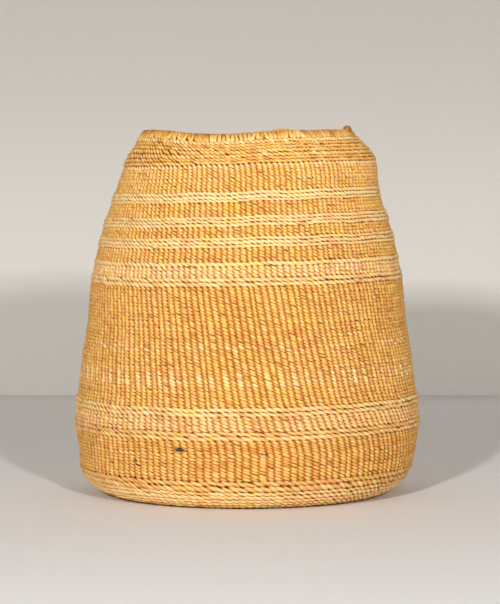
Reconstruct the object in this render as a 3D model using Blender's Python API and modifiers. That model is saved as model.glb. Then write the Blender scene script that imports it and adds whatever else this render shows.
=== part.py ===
"""A twined basket with a flat round base, a full body and a drawn-in mouth.

The wall stands as it was woven: ring upon ring of weft, some in plain twining that lies
smooth, others in three-strand twining whose rows stand out like cords. The stakes show
bare where they cross under the middle of the base, and at the mouth, where they are
turned down and overcast. Lengths are in metres and +Z is up, with the origin under the
middle of the base.
"""

import math

import bpy
from mathutils import Vector

# Main sizes
BASKET_HEIGHT = 0.2294
WIDEST_RADIUS = 0.1100

# The wall: how far the standing face lies in from the wall's foot and how high the turn
# at the foot goes, how thick the weave is, how far a cord-like row stands out of it, and
# the gap kept between two bands
FOOT_TURN_REACH = 0.0330
FOOT_TURN_HEIGHT = 0.0260
WALL_THICKNESS = 0.0036
CORD_RIDGE = 0.0007
SEAT_GAP = 0.0003

# How finely curves are followed
SLOPE_REACH = 0.0004
LONGEST_FACET = 0.0160
MERGE_DISTANCE = 0.00001

# The mouth
RIM_HEIGHT = 0.0052
TURNED_STAKES_THICKNESS = 0.0018
OVERCAST_THICKNESS = 0.0010
OVERCAST_RIPPLE = 0.0003

# The knot and the loop of spare strand on the mouth
KNOT_LENGTH = 0.0062
KNOT_WIDTH = 0.0036
KNOT_HEIGHT = 0.0026
LOOP_SPAN = 0.0075
LOOP_HEIGHT = 0.0016
LOOP_STRAND_RADIUS = 0.0005

# The crossing of the first stakes, in the middle of the base
CROSSING_RADIUS = 0.0125
STAKE_WIDTH = 0.0026
GROOVE_DEPTH = 0.0005
CUTTER_OVERRUN = 0.0020

# Sides of the turned rings, and counts
RING_SIDES = 40
OVERCAST_SIDES = 72
KNOT_SIDES = 10
KNOT_RINGS = 6
LOOP_POINTS = 9
KNOT_TURN = math.radians(-19.0)
LOOP_TURN = math.radians(-72.0)

# How tall a row of each kind is, next to a plain row
PLAIN_ROW_SHARE = 1.00
STRAW_ROW_SHARE = 1.07
EDGE_CORD_SHARE = 1.00
LOWER_CORD_SHARE = 1.37
UPPER_CORD_SHARE = 1.07
SHOULDER_CORD_SHARE = 1.05

# Radius of the wall as a share of its widest, at shares of the full height
WALL_RADIUS_SHARES = [
    (0.000, 0.930),
    (0.080, 0.960),
    (0.130, 0.981),
    (0.215, 1.000),
    (0.300, 0.974),
    (0.390, 0.949),
    (0.475, 0.918),
    (0.570, 0.900),
    (0.655, 0.868),
    (0.740, 0.826),
    (0.825, 0.770),
    (0.905, 0.735),
    (0.940, 0.702),
    (0.970, 0.648),
    (1.000, 0.600),
]

OCHRE_COLOUR = (0.62, 0.33, 0.08)
DEEP_OCHRE_COLOUR = (0.55, 0.27, 0.06)
STRAW_COLOUR = (0.74, 0.50, 0.20)
SPECKLED_COLOUR = (0.68, 0.41, 0.13)
BARE_STAKE_COLOUR = (0.50, 0.31, 0.12)
BROWN_COLOUR = (0.20, 0.08, 0.03)

# Bands of weft from the base up: name, rows, height share of a row, whether its rows
# stand out like cords, and colour
BAND_SHARES = [
    ("base_turn_cord_rows", 4, EDGE_CORD_SHARE, True, OCHRE_COLOUR),
    ("base_edge_cord_rows", 5, EDGE_CORD_SHARE, True, STRAW_COLOUR),
    ("lower_ochre_rows", 12, PLAIN_ROW_SHARE, False, OCHRE_COLOUR),
    ("lower_cord_rows", 2, LOWER_CORD_SHARE, True, STRAW_COLOUR),
    ("lower_straw_rows", 4, STRAW_ROW_SHARE, False, STRAW_COLOUR),
    ("body_foot_cord_rows", 2, LOWER_CORD_SHARE, True, STRAW_COLOUR),
    ("body_foot_rows", 6, PLAIN_ROW_SHARE, False, OCHRE_COLOUR),
    ("body_speckled_rows", 4, PLAIN_ROW_SHARE, False, SPECKLED_COLOUR),
    ("body_middle_rows", 6, PLAIN_ROW_SHARE, False, DEEP_OCHRE_COLOUR),
    ("body_flecked_rows", 2, PLAIN_ROW_SHARE, False, SPECKLED_COLOUR),
    ("body_upper_rows", 17, PLAIN_ROW_SHARE, False, OCHRE_COLOUR),
    ("waist_cord_rows", 2, LOWER_CORD_SHARE, True, STRAW_COLOUR),
    ("waist_straw_rows", 3, STRAW_ROW_SHARE, False, STRAW_COLOUR),
    ("waist_single_cord_row", 1, LOWER_CORD_SHARE, True, STRAW_COLOUR),
    ("first_upper_ochre_rows", 4, PLAIN_ROW_SHARE, False, OCHRE_COLOUR),
    ("first_upper_cord_rows", 3, UPPER_CORD_SHARE, True, STRAW_COLOUR),
    ("second_upper_ochre_rows", 3, PLAIN_ROW_SHARE, False, OCHRE_COLOUR),
    ("second_upper_cord_rows", 3, UPPER_CORD_SHARE, True, STRAW_COLOUR),
    ("third_upper_ochre_rows", 4, PLAIN_ROW_SHARE, False, OCHRE_COLOUR),
    ("third_upper_cord_rows", 3, UPPER_CORD_SHARE, True, STRAW_COLOUR),
    ("shoulder_ochre_rows", 7, PLAIN_ROW_SHARE, False, OCHRE_COLOUR),
    ("shoulder_straw_row", 1, PLAIN_ROW_SHARE, False, STRAW_COLOUR),
    ("shoulder_cord_rows", 7, SHOULDER_CORD_SHARE, True, OCHRE_COLOUR),
]
EDGE_BAND_COUNT = 2

WOVEN_HEIGHT = BASKET_HEIGHT - RIM_HEIGHT
PLAIN_ROW_RISE = WOVEN_HEIGHT / sum(rows * share for _, rows, share, _, _ in BAND_SHARES)
EDGE_HEIGHT = PLAIN_ROW_RISE * sum(rows * share for _, rows, share, _, _ in BAND_SHARES[:EDGE_BAND_COUNT])


def clear_scene():
    """Remove the objects that the file starts with."""
    for thing in list(bpy.data.objects):
        bpy.data.objects.remove(thing, do_unlink=True)


def new_collection(name):
    collection = bpy.data.collections.new(name)
    bpy.context.scene.collection.children.link(collection)
    return collection


def move_to(thing, collection):
    """Keep an object in one collection alone."""
    for holder in list(thing.users_collection):
        holder.objects.unlink(thing)
    collection.objects.link(thing)


def fibre(name, colour, roughness=0.78):
    """Dry plant fibre: matt, with no metal in it."""
    material = bpy.data.materials.new(name)
    material.use_nodes = True
    shader = material.node_tree.nodes["Principled BSDF"]
    shader.inputs["Base Color"].default_value = (*colour, 1.0)
    shader.inputs["Roughness"].default_value = roughness
    shader.inputs["Metallic"].default_value = 0.0
    return material


def share_at(place, shares):
    """Smooth value at `place` along a table of (place, value) shares."""
    last = len(shares) - 1
    step = next((i for i in range(last) if place <= shares[i + 1][0]), last - 1)
    before = shares[max(step - 1, 0)]
    start, end = shares[step], shares[step + 1]
    after = shares[min(step + 2, last)]
    width = end[0] - start[0]
    start_slope = (end[1] - before[1]) / (end[0] - before[0]) * width
    end_slope = (after[1] - start[1]) / (after[0] - start[0]) * width
    t = (place - start[0]) / width
    return (
        (2 * t**3 - 3 * t**2 + 1) * start[1]
        + (t**3 - 2 * t**2 + t) * start_slope
        + (3 * t**2 - 2 * t**3) * end[1]
        + (t**3 - t**2) * end_slope
    )


FOOT_RADIUS = WIDEST_RADIUS * share_at(FOOT_TURN_HEIGHT / BASKET_HEIGHT, WALL_RADIUS_SHARES)
STANDING_RADIUS = FOOT_RADIUS - FOOT_TURN_REACH


def turned_by(height):
    """Angle that the turn at the foot has reached at a height."""
    return math.acos(max(1 - height / FOOT_TURN_HEIGHT, 0.0))


def wall_outline(rise):
    """Radius and height of the wall's outer face, `rise` up the rows from the flat base."""
    if rise < 0.0:
        return STANDING_RADIUS + rise, 0.0
    if rise < EDGE_HEIGHT:
        turn = rise / EDGE_HEIGHT * turned_by(EDGE_HEIGHT)
    elif rise < FOOT_TURN_HEIGHT:
        turn = turned_by(rise)
    else:
        return WIDEST_RADIUS * share_at(rise / BASKET_HEIGHT, WALL_RADIUS_SHARES), rise
    radius = STANDING_RADIUS + FOOT_TURN_REACH * math.sin(turn)
    return radius, FOOT_TURN_HEIGHT * (1 - math.cos(turn))


def wall_point(rise, depth):
    """Point of the wall's section, `depth` in from its outer face and square to it."""
    radius, height = wall_outline(rise)
    below = wall_outline(rise - SLOPE_REACH)
    above = wall_outline(rise + SLOPE_REACH)
    along = Vector((above[0] - below[0], above[1] - below[1])).normalized()
    inward_x, inward_z = -along.y, along.x
    return radius + inward_x * depth, max(height + inward_z * depth, 0.0)


def run_of_points(start, end, steps, depth):
    """Points at one depth in the wall, from rise `start` to rise `end`."""
    return [wall_point(start + (end - start) * i / steps, depth) for i in range(steps + 1)]


def ridged_points(start, end, rows):
    """Outer points of rows that stand out like cords, with a ridge in the middle of each."""
    points = []
    for i in range(2 * rows + 1):
        depth = -CORD_RIDGE if i % 2 else 0.0
        points.append(wall_point(start + (end - start) * i / (2 * rows), depth))
    return points


def band_section(bottom, top, rows, stands_out):
    """Closed section of a band: down its outer side, then up its inner side."""
    low = bottom + SEAT_GAP / 2
    high = top - SEAT_GAP / 2
    steps = max(1, math.ceil((high - low) / LONGEST_FACET))
    if stands_out:
        outer = ridged_points(high, low, rows)
    else:
        outer = run_of_points(high, low, steps, 0.0)
    return outer + run_of_points(low, high, steps, WALL_THICKNESS)


def turned_ring(name, section, colour, collection, sides=RING_SIDES):
    """Turn a closed section round the basket's axis."""
    count = len(section)
    mesh = bpy.data.meshes.new(name)
    mesh.from_pydata(
        [(radius, 0.0, height) for radius, height in section],
        [(i, (i + 1) % count) for i in range(count)],
        [],
    )
    ring = bpy.data.objects.new(name, mesh)
    mesh.materials.append(fibre(name, colour))
    collection.objects.link(ring)
    screw = ring.modifiers.new("turn", "SCREW")
    screw.axis = "Z"
    screw.angle = math.tau
    screw.steps = sides
    screw.render_steps = sides
    screw.use_smooth_shade = True
    screw.use_merge_vertices = True
    screw.merge_threshold = MERGE_DISTANCE
    return ring


def build_wall(collection):
    """Stack the bands of weft from the flat base to the foot of the rim."""
    bottom = 0.0
    for name, rows, share, stands_out, colour in BAND_SHARES:
        top = bottom + rows * share * PLAIN_ROW_RISE
        turned_ring(name, band_section(bottom, top, rows, stands_out), colour, collection)
        bottom = top


def build_base_weave(collection):
    """Flat rows from the crossing of the stakes out to where the wall turns up."""
    inner = CROSSING_RADIUS
    outer = STANDING_RADIUS - SEAT_GAP / 2
    section = [(outer, WALL_THICKNESS), (outer, 0.0), (inner, 0.0), (inner, WALL_THICKNESS)]
    turned_ring("base_flat_rows", section, OCHRE_COLOUR, collection)


def groove_cutter(name, radius, crest, cutters):
    """Wedges that part a plate into stakes lying side by side."""
    half_count = math.floor(radius / STAKE_WIDTH)
    bpy.ops.mesh.primitive_cylinder_add(
        vertices=4,
        radius=GROOVE_DEPTH,
        depth=2 * (radius + CUTTER_OVERRUN),
        location=(0.0, -half_count * STAKE_WIDTH, crest),
        rotation=(0.0, math.pi / 2, 0.0),
    )
    cutter = bpy.context.object
    cutter.name = name
    row = cutter.modifiers.new("side by side", "ARRAY")
    row.count = 2 * half_count + 1
    row.use_relative_offset = False
    row.use_constant_offset = True
    row.constant_offset_displace = (0.0, STAKE_WIDTH, 0.0)
    cutter.hide_render = True
    cutter.display_type = "WIRE"
    move_to(cutter, cutters)
    return cutter


def build_crossing_layer(name, bottom, crest, turn, collection, cutters):
    """One layer of bare stakes, lying side by side, with its grooves on the face at `crest`."""
    radius = CROSSING_RADIUS - SEAT_GAP
    thickness = (WALL_THICKNESS - SEAT_GAP) / 2
    bpy.ops.mesh.primitive_cylinder_add(
        vertices=RING_SIDES,
        radius=radius,
        depth=thickness,
        location=(0.0, 0.0, bottom + thickness / 2),
    )
    layer = bpy.context.object
    layer.name = name
    layer.data.materials.append(fibre(name, BARE_STAKE_COLOUR))
    move_to(layer, collection)
    cutter = groove_cutter(name + "_grooves", radius, crest, cutters)
    grooves = layer.modifiers.new("grooves", "BOOLEAN")
    grooves.operation = "DIFFERENCE"
    grooves.solver = "EXACT"
    grooves.object = cutter
    cutter.parent = layer
    cutter.matrix_parent_inverse = layer.matrix_world.inverted()
    layer.rotation_euler.z = turn
    return layer


def build_crossing(collection, cutters):
    """The first stakes, two layers laid across each other in the middle of the base."""
    upper_bottom = (WALL_THICKNESS + SEAT_GAP) / 2
    build_crossing_layer("lower_crossed_stakes", 0.0, 0.0, 0.0, collection, cutters)
    build_crossing_layer(
        "upper_crossed_stakes", upper_bottom, WALL_THICKNESS, math.pi / 2, collection, cutters
    )


def rim_point(rise, offset):
    """Point of the rim's section, `offset` outward from the middle of the wall."""
    return wall_point(rise, WALL_THICKNESS / 2 - offset)


def build_turned_stakes(collection):
    """The stakes' ends, bent down along the mouth into one tight ring."""
    half = TURNED_STAKES_THICKNESS / 2
    low = WOVEN_HEIGHT + SEAT_GAP
    high = BASKET_HEIGHT - OVERCAST_THICKNESS - SEAT_GAP
    section = [
        rim_point(high, half),
        rim_point(low, half),
        rim_point(low, -half),
        rim_point(high, -half),
    ]
    turned_ring("rim_turned_stakes", section, BARE_STAKE_COLOUR, collection)


def overcast_section():
    """Channel that the overcasting makes over the turned stakes, open at its foot."""
    inner = TURNED_STAKES_THICKNESS / 2 + SEAT_GAP
    outer = inner + OVERCAST_THICKNESS
    low = WOVEN_HEIGHT + SEAT_GAP
    roof = BASKET_HEIGHT - OVERCAST_THICKNESS
    brow = BASKET_HEIGHT - OVERCAST_THICKNESS
    crown = inner - OVERCAST_THICKNESS / 2
    outer_side = [rim_point(BASKET_HEIGHT, crown), rim_point(brow, outer), rim_point(low, outer)]
    hollow = [
        rim_point(low, inner),
        rim_point(roof, inner),
        rim_point(roof, -inner),
        rim_point(low, -inner),
    ]
    inner_side = [rim_point(low, -outer), rim_point(brow, -outer), rim_point(BASKET_HEIGHT, -crown)]
    return outer_side, hollow, inner_side


def build_overcasting(collection):
    """The whipping stitches over the rim, pressed into one scalloped channel."""
    outer_side, hollow, inner_side = overcast_section()
    section = outer_side + hollow + inner_side
    ring = turned_ring("rim_overcasting", section, OCHRE_COLOUR, collection, OVERCAST_SIDES)
    turned = ring.evaluated_get(bpy.context.evaluated_depsgraph_get())
    stitches = bpy.data.meshes.new_from_object(turned)
    ring.modifiers.clear()
    ring.data = stitches
    for vertex in stitches.vertices:
        side, place = divmod(vertex.index, len(section))
        in_hollow = len(outer_side) <= place < len(outer_side) + len(hollow)
        if side % 2 and not in_hollow:
            outward = 1 if place < len(outer_side) else -1
            radius = math.hypot(vertex.co.x, vertex.co.y)
            share_left = (radius - outward * OVERCAST_RIPPLE) / radius
            vertex.co.x *= share_left
            vertex.co.y *= share_left
    return ring


def rim_seat(turn):
    """Place on top of the overcasting, at an angle round the mouth."""
    radius, height = rim_point(BASKET_HEIGHT, 0.0)
    return Vector((radius * math.cos(turn), radius * math.sin(turn), height + SEAT_GAP))


def build_knot(collection):
    """The weaver's finishing knot, a small lump that sits on the rim."""
    seat = rim_seat(KNOT_TURN)
    bpy.ops.mesh.primitive_uv_sphere_add(
        segments=KNOT_SIDES,
        ring_count=KNOT_RINGS,
        radius=KNOT_HEIGHT / 2,
        location=(seat.x, seat.y, seat.z + KNOT_HEIGHT / 2),
        rotation=(0.0, 0.0, KNOT_TURN),
    )
    knot = bpy.context.object
    knot.name = "rim_end_knot"
    knot.scale = (KNOT_WIDTH / KNOT_HEIGHT, KNOT_LENGTH / KNOT_HEIGHT, 1.0)
    knot.data.materials.append(fibre(knot.name, BROWN_COLOUR))
    knot.data.shade_smooth()
    move_to(knot, collection)


def build_loop(collection):
    """A slack loop of the overcasting strand, lying up off the rim."""
    curve = bpy.data.curves.new("rim_slack_loop", "CURVE")
    curve.dimensions = "3D"
    curve.bevel_depth = LOOP_STRAND_RADIUS
    curve.bevel_resolution = 1
    curve.use_fill_caps = True
    spline = curve.splines.new("POLY")
    spline.points.add(LOOP_POINTS - 1)
    radius, height = rim_point(BASKET_HEIGHT, 0.0)
    for i, point in enumerate(spline.points):
        part = i / (LOOP_POINTS - 1)
        turn = LOOP_TURN + (part - 0.5) * LOOP_SPAN / radius
        lift = LOOP_HEIGHT * math.sin(math.pi * part)
        rise = height + SEAT_GAP + LOOP_STRAND_RADIUS + lift
        point.co = (radius * math.cos(turn), radius * math.sin(turn), rise, 1.0)
    loop = bpy.data.objects.new("rim_slack_loop", curve)
    curve.materials.append(fibre(loop.name, OCHRE_COLOUR))
    collection.objects.link(loop)


def main():
    clear_scene()
    parts = new_collection("twined_basket")
    cutters = new_collection("cutters")
    build_crossing(parts, cutters)
    build_base_weave(parts)
    build_wall(parts)
    build_turned_stakes(parts)
    build_overcasting(parts)
    build_knot(parts)
    build_loop(parts)


main()
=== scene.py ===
"""Looks of a round twined basket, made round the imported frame.

The basket is all dry plant fibre. Every row of weft is laid strand by strand from one modelled
repeat of its twist, and follows the turned wall with the small drifts of hand work. Lengths are
in metres and angles in radians, unless a name says otherwise. A rise is a height up the rows,
before any drift, and it is negative on the flat base.
"""

import logging
import math
from dataclasses import dataclass, field
from enum import Enum
from functools import cached_property

import bmesh
import bpy
import numpy as np
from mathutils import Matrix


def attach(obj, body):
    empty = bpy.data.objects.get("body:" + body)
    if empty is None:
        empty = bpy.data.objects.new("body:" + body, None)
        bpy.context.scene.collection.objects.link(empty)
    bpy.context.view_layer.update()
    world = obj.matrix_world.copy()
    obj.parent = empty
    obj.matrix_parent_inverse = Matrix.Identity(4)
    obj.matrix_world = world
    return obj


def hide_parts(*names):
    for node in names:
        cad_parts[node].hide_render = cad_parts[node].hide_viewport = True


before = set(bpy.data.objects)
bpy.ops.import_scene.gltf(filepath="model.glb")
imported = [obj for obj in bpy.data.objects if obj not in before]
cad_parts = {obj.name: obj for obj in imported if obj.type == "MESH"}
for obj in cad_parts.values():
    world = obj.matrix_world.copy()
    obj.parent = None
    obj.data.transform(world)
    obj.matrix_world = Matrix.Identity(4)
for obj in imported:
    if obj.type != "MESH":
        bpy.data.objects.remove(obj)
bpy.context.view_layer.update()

Array = np.ndarray
Numbers = np.ndarray | float
Span = tuple[float, float]
LOG = logging.getLogger("basket")
MM = 0.001
BODY = "root"
FRONT = -math.pi / 2
STRAND_MAP = "strand_map"
TONE, PAINTED_SHADE, STAIN = "tone", "painted_shade", "stain"
FACE_CORNERS = ((0, 0), (1, 0), (1, 1), (0, 1))
WHITE = "#FFFFFF"


def smooth_step(span: Span, value: Numbers) -> Array:
    """Ease from 0 at the start of a span of values to 1 at its end.

    Args:
        span: Value at which the result is 0, and value at which it is 1.
        value: Where to read the curve.

    Returns:
        The eased share, from 0 to 1.
    """
    low, high = span
    share = np.clip((np.asarray(value, float) - low) / (high - low), 0.0, 1.0)
    return share * share * (3.0 - 2.0 * share)


def select_only(*things: bpy.types.Object) -> None:
    """Leave edit mode and select these things alone.

    Args:
        things: What to select. The first becomes the active one.
    """
    if bpy.context.object and bpy.context.object.mode != "OBJECT":
        bpy.ops.object.mode_set(mode="OBJECT")
    bpy.ops.object.select_all(action="DESELECT")
    for thing in things:
        thing.select_set(True)
    if things:
        bpy.context.view_layer.objects.active = things[0]


def apply_place(thing: bpy.types.Object) -> None:
    """Put a thing's place, turn and scale into its mesh."""
    select_only(thing)
    bpy.ops.object.transform_apply(location=True, rotation=True, scale=True)


def joined(things: list[bpy.types.Object], name: str) -> bpy.types.Object:
    """Join things into one.

    Args:
        things: What to join.
        name: Name of the whole.

    Returns:
        The whole.
    """
    select_only(*things)
    bpy.ops.object.join()
    things[0].name = name
    return things[0]


def linked(name: str, data: bpy.types.ID) -> bpy.types.Object:
    """Make an object of some data in the scene.

    Args:
        name: Name of the object.
        data: Its mesh, curve, lamp or camera.

    Returns:
        The object.
    """
    thing = bpy.data.objects.new(name, data)
    bpy.context.scene.collection.objects.link(thing)
    return thing


def subdivide_along(rod: bpy.types.Object, axis: int, length: float, cuts: int) -> None:
    """Cut a straight rod into equal lengths, and stay in edit mode.

    Args:
        rod: The rod.
        axis: Number of the axis that it lies along.
        length: Its length.
        cuts: How many cuts.
    """
    bpy.ops.object.mode_set(mode="EDIT")
    bpy.ops.mesh.select_all(action="DESELECT")
    edit = bmesh.from_edit_mesh(rod.data)
    for edge in edit.edges:
        start, end = (vertex.co[axis] for vertex in edge.verts)
        edge.select_set(abs(start - end) > length / 2)
    bmesh.update_edit_mesh(rod.data)
    bpy.ops.mesh.subdivide(number_cuts=cuts)


def read_numbers(items: bpy.types.bpy_prop_collection, key: str, each: int,
                 kind: type = float) -> Array:
    """Read one property of all items of a mesh.

    Args:
        items: Its vertices, face corners or map places.
        key: The property.
        each: How many numbers it has.
        kind: What kind of number.

    Returns:
        One row for each item.
    """
    numbers = np.empty(len(items) * each, kind)
    items.foreach_get(key, numbers)
    return numbers.reshape(-1, each)


def unit(vectors: Array) -> Array:
    """Bring every vector to length 1."""
    return vectors / np.linalg.norm(vectors, axis=1, keepdims=True)


def linear_colour(hex_text: str) -> tuple[float, float, float, float]:
    """Turn an sRGB hex value into a linear colour.

    Args:
        hex_text: Six hex digits after a mark.

    Returns:
        Red, green, blue and full alpha.
    """
    digits = hex_text.lstrip("#")
    shares = [int(digits[i:i + 2], 16) / 255 for i in (0, 2, 4)]
    linear = [s / 12.92 if s <= 0.04045 else ((s + 0.055) / 1.055) ** 2.4 for s in shares]
    return (*linear, 1.0)


def add_node(tree: bpy.types.NodeTree, kind: str, values: dict | None = None,
             links: dict | None = None, stops: tuple[tuple[float, str], ...] = (),
             **settings: object) -> bpy.types.Node:
    """Add a node with its settings, input values and links.

    Args:
        tree: Node tree that the node goes into.
        kind: Blender's name for the node type, after ShaderNode.
        values: Input name or number to its value.
        links: Input name or number to the socket that feeds it.
        stops: Place and colour of each stop of its colour ramp, in order.
        settings: The node's own properties.

    Returns:
        The new node.
    """
    node = tree.nodes.new(f"ShaderNode{kind}")
    for name, value in settings.items():
        setattr(node, name, value)
    for name, value in (values or {}).items():
        node.inputs[name].default_value = value
    for name, socket in (links or {}).items():
        tree.links.new(socket, node.inputs[name])
    if stops:
        ramp = node.color_ramp.elements
        for stop, (place, colour) in zip(ramp, (stops[0], stops[-1])):
            stop.position, stop.color = place, linear_colour(colour)
        for place, colour in stops[1:-1]:
            ramp.new(place).color = linear_colour(colour)
    return node


@dataclass(frozen=True)
class FibreFinish:
    """Dry plant fibre, split into strands and worked by hand.

    It is matt with a faint gloss along the strand, streaked lengthwise by its own fibres, here
    rosier and there more golden, and darker down in the hollows, where shade is painted into
    its colour. The streaks are drawn coarser than real fibres, so that they show. Its shade
    runs from deep to light. The painted shade of the hollows, and the rosy and golden colours,
    multiply it.
    """

    name: str
    deep: str
    middle: str
    light: str
    # Painted shade: the colours that darken the hollows of the weave, shallow to deep
    shallow_painted_shade: str = "#F0D8A4"
    deep_painted_shade: str = "#C29C55"
    stain: str = "#2A2220"
    rosy: str = "#FCE3D2"
    golden: str = "#FFFAC8"
    hue_length_mm: float = 5.0
    hue_width_mm: float = 9.0
    hue_shift: tuple[float, float, float] = (7.0, 3.0, 0.0)
    patch_mm: float = 9.0
    hue_places: tuple[float, float, float] = (0.38, 0.50, 0.62)
    streak_share: float = 0.50
    streak_length_mm: float = 3.2
    streak_width_mm: float = 0.46
    blotch_share: float = 0.42
    blotch_mm: float = 13.0
    roughness: float = 0.62
    relief_mm: float = 0.10
    relief_strength: float = 0.55
    record_slot: str = ""

    @property
    def slot(self) -> str:
        """Material slot in the record."""
        return self.record_slot or self.name

    @cached_property
    def material(self) -> bpy.types.Material:
        """Make the finish as a node material, once.

        Returns:
            The material.
        """
        material = bpy.data.materials.new(self.name)
        material.use_nodes = True
        tree = material.node_tree
        shader = tree.nodes["Principled BSDF"]
        shader.inputs["Roughness"].default_value = self.roughness
        noise = self._noises(tree)
        marks = {
            name: add_node(tree, "Attribute", attribute_name=name).outputs["Fac"]
            for name in (TONE, PAINTED_SHADE, STAIN)
        }
        shade = marks[TONE]
        for name, share in (("streaks", self.streak_share), ("blotches", self.blotch_share)):
            centred = add_node(tree, "Math", {1: 0.5}, {0: noise[name]}, operation="SUBTRACT")
            shade = add_node(
                tree, "Math", {1: share}, {0: centred.outputs[0], 2: shade},
                operation="MULTIPLY_ADD",
            ).outputs[0]
        both = add_node(
            tree, "Math", links={0: noise["hues"], 1: noise["patches"]}, operation="ADD"
        )
        hue = add_node(tree, "Math", {1: 0.5}, {0: both.outputs[0]}, operation="MULTIPLY")
        layers = [
            add_node(tree, "ValToRGB", links={"Fac": socket}, stops=stops)
            for socket, stops in (
                (shade, ((0.0, self.deep), (0.5, self.middle), (1.0, self.light))),
                (hue.outputs[0], tuple(zip(self.hue_places, (self.rosy, WHITE, self.golden)))),
                # Painted shade, which darkens a place the deeper it lies in the weave
                (marks[PAINTED_SHADE],
                 ((0.0, WHITE), (0.5, self.shallow_painted_shade), (1.0, self.deep_painted_shade))),
            )
        ]
        colour = layers[0].outputs["Color"]
        for layer in layers[1:]:
            colour = add_node(
                tree, "Mix", {0: 1.0}, {6: colour, 7: layer.outputs["Color"]},
                data_type="RGBA", blend_type="MULTIPLY",
            ).outputs[2]
        stained = add_node(
            tree, "Mix", {7: linear_colour(self.stain)}, {0: marks[STAIN], 6: colour},
            data_type="RGBA", blend_type="MIX",
        )
        tree.links.new(stained.outputs[2], shader.inputs["Base Color"])
        bump = add_node(
            tree, "Bump",
            {"Strength": self.relief_strength, "Distance": self.relief_mm * MM},
            {"Height": noise["streaks"]},
        )
        tree.links.new(bump.outputs["Normal"], shader.inputs["Normal"])
        return material

    def _noises(self, tree: bpy.types.NodeTree) -> dict[str, bpy.types.NodeSocket]:
        """Add the four noises, two along the strands and two over the whole form.

        Args:
            tree: Node tree that they go into.

        Returns:
            Name of each noise to its socket.
        """
        strand = add_node(tree, "UVMap", uv_map=STRAND_MAP).outputs["UV"]
        form = add_node(tree, "TexCoord").outputs["Object"]
        still = (0.0, 0.0, 0.0)
        noises = {}
        for name, source, sizes, shift, fineness in (
            ("streaks", strand, (self.streak_length_mm, self.streak_width_mm, 1.0), still,
             {"Detail": 2.0, "Roughness": 0.6}),
            ("hues", strand, (self.hue_length_mm, self.hue_width_mm, 1.0), self.hue_shift,
             {"Detail": 1.0}),
            ("blotches", form, (self.blotch_mm * MM,) * 3, still, {"Detail": 2.0}),
            ("patches", form, (self.patch_mm * MM,) * 3, still, {"Detail": 1.0}),
        ):
            placed = add_node(
                tree, "Mapping",
                {"Scale": tuple(1 / size for size in sizes), "Location": shift},
                {"Vector": source},
            )
            noises[name] = add_node(
                tree, "TexNoise", {"Scale": 1.0, **fineness},
                {"Vector": placed.outputs["Vector"]},
            ).outputs["Fac"]
        return noises


@dataclass(frozen=True)
class PlainFinish:
    """Matt painted board, as a studio's table and wall, which may have painted shade towards its
    top.
    """

    name: str
    colour: str
    top_shade_colour: str = ""
    shaded: Span = (0.0, 1.0)
    roughness: float = 0.9

    @cached_property
    def material(self) -> bpy.types.Material:
        """Make the finish as a node material, once, which shows only from its front.

        Returns:
            The material.
        """
        material = bpy.data.materials.new(self.name)
        material.use_nodes = True
        tree = material.node_tree
        shader = tree.nodes["Principled BSDF"]
        shader.inputs["Roughness"].default_value = self.roughness
        shader.inputs["Base Color"].default_value = linear_colour(self.colour)
        if self.top_shade_colour:
            place = add_node(tree, "TexCoord")
            parted = add_node(tree, "SeparateXYZ", links={"Vector": place.outputs["Object"]})
            share = add_node(
                tree, "MapRange",
                dict(zip(("From Min", "From Max"), self.shaded)),
                {"Value": parted.outputs["Y"]}, interpolation_type="SMOOTHSTEP",
            )
            shaded = add_node(
                tree, "Mix",
                {6: linear_colour(self.colour), 7: linear_colour(self.top_shade_colour)},
                {0: share.outputs["Result"]}, data_type="RGBA", blend_type="MIX",
            )
            tree.links.new(shaded.outputs[2], shader.inputs["Base Color"])
        side = add_node(tree, "NewGeometry")
        clear = add_node(tree, "BsdfTransparent")
        shown = add_node(
            tree, "MixShader",
            links={0: side.outputs["Backfacing"], 1: shader.outputs["BSDF"],
                   2: clear.outputs["BSDF"]},
        )
        tree.links.new(shown.outputs[0], tree.nodes["Material Output"].inputs["Surface"])
        return material


# Split and flattened stems: matt ochre with soft streaks, the body's main colour
OCHRE_WEFT = FibreFinish("ochre_weft", "#C0893B", "#DCAE60", "#E5BC80")
# The same stems, with lighter painted shade in the hollows
UPPER_OCHRE_WEFT = FibreFinish(
    "ochre_weft_light_painted_shade", "#C08A3C", "#DDAF60", "#E5BC80", shallow_painted_shade="#F6E2B6",
    deep_painted_shade="#C8A25A", record_slot="ochre_weft",
)
# Paler outer stem, scraped clean: light straw bands with little painted shade in the hollows
STRAW_WEFT = FibreFinish(
    "straw_weft", "#CD9B5D", "#E1B980", "#E9C797", shallow_painted_shade="#FAEACA", deep_painted_shade="#CAA566"
)
# One ochre and one pale strand together: light flecks stake by stake
SPECKLED_WEFT = FibreFinish("speckled_weft", "#BF883E", "#D8AA62", "#ECCC98")
# Strands twisted three together: round, with a painted highlight on top and dark painted
# shade in the pits at the stakes
OCHRE_CORD = FibreFinish(
    "ochre_cord", "#C8903E", "#E2B260", "#F2D292", shallow_painted_shade="#DCB678", deep_painted_shade="#6A461A"
)
# The same twist in scraped stem: the palest lines on the basket
STRAW_CORD = FibreFinish(
    "straw_cord", "#D4A45E", "#E8C48A", "#ECCE9C", shallow_painted_shade="#F0DEB2", deep_painted_shade="#96723E"
)
# Thin whipping strand, pulled tight: strong streaks, and dark brown marks on some turns' tops
OVERCAST_STRAND = FibreFinish(
    "overcast_strand", "#A0692C", "#D8A24C", "#F4D294", stain="#4E2E14", streak_share=1.00,
    streak_width_mm=0.55,
)
# Peeled stem, left round: plain brown wood, with dark painted shade where the weave covers it
BARE_STAKE = FibreFinish(
    "bare_stake", "#A06E32", "#C89650", "#E2BC7C", shallow_painted_shade="#B08850", deep_painted_shade="#50331A"
)
# Dried root fibre, wound tight: a small dark brown lump
BROWN_KNOT = FibreFinish("brown_knot", "#703E18", "#A0642C", "#CC904C")


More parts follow.
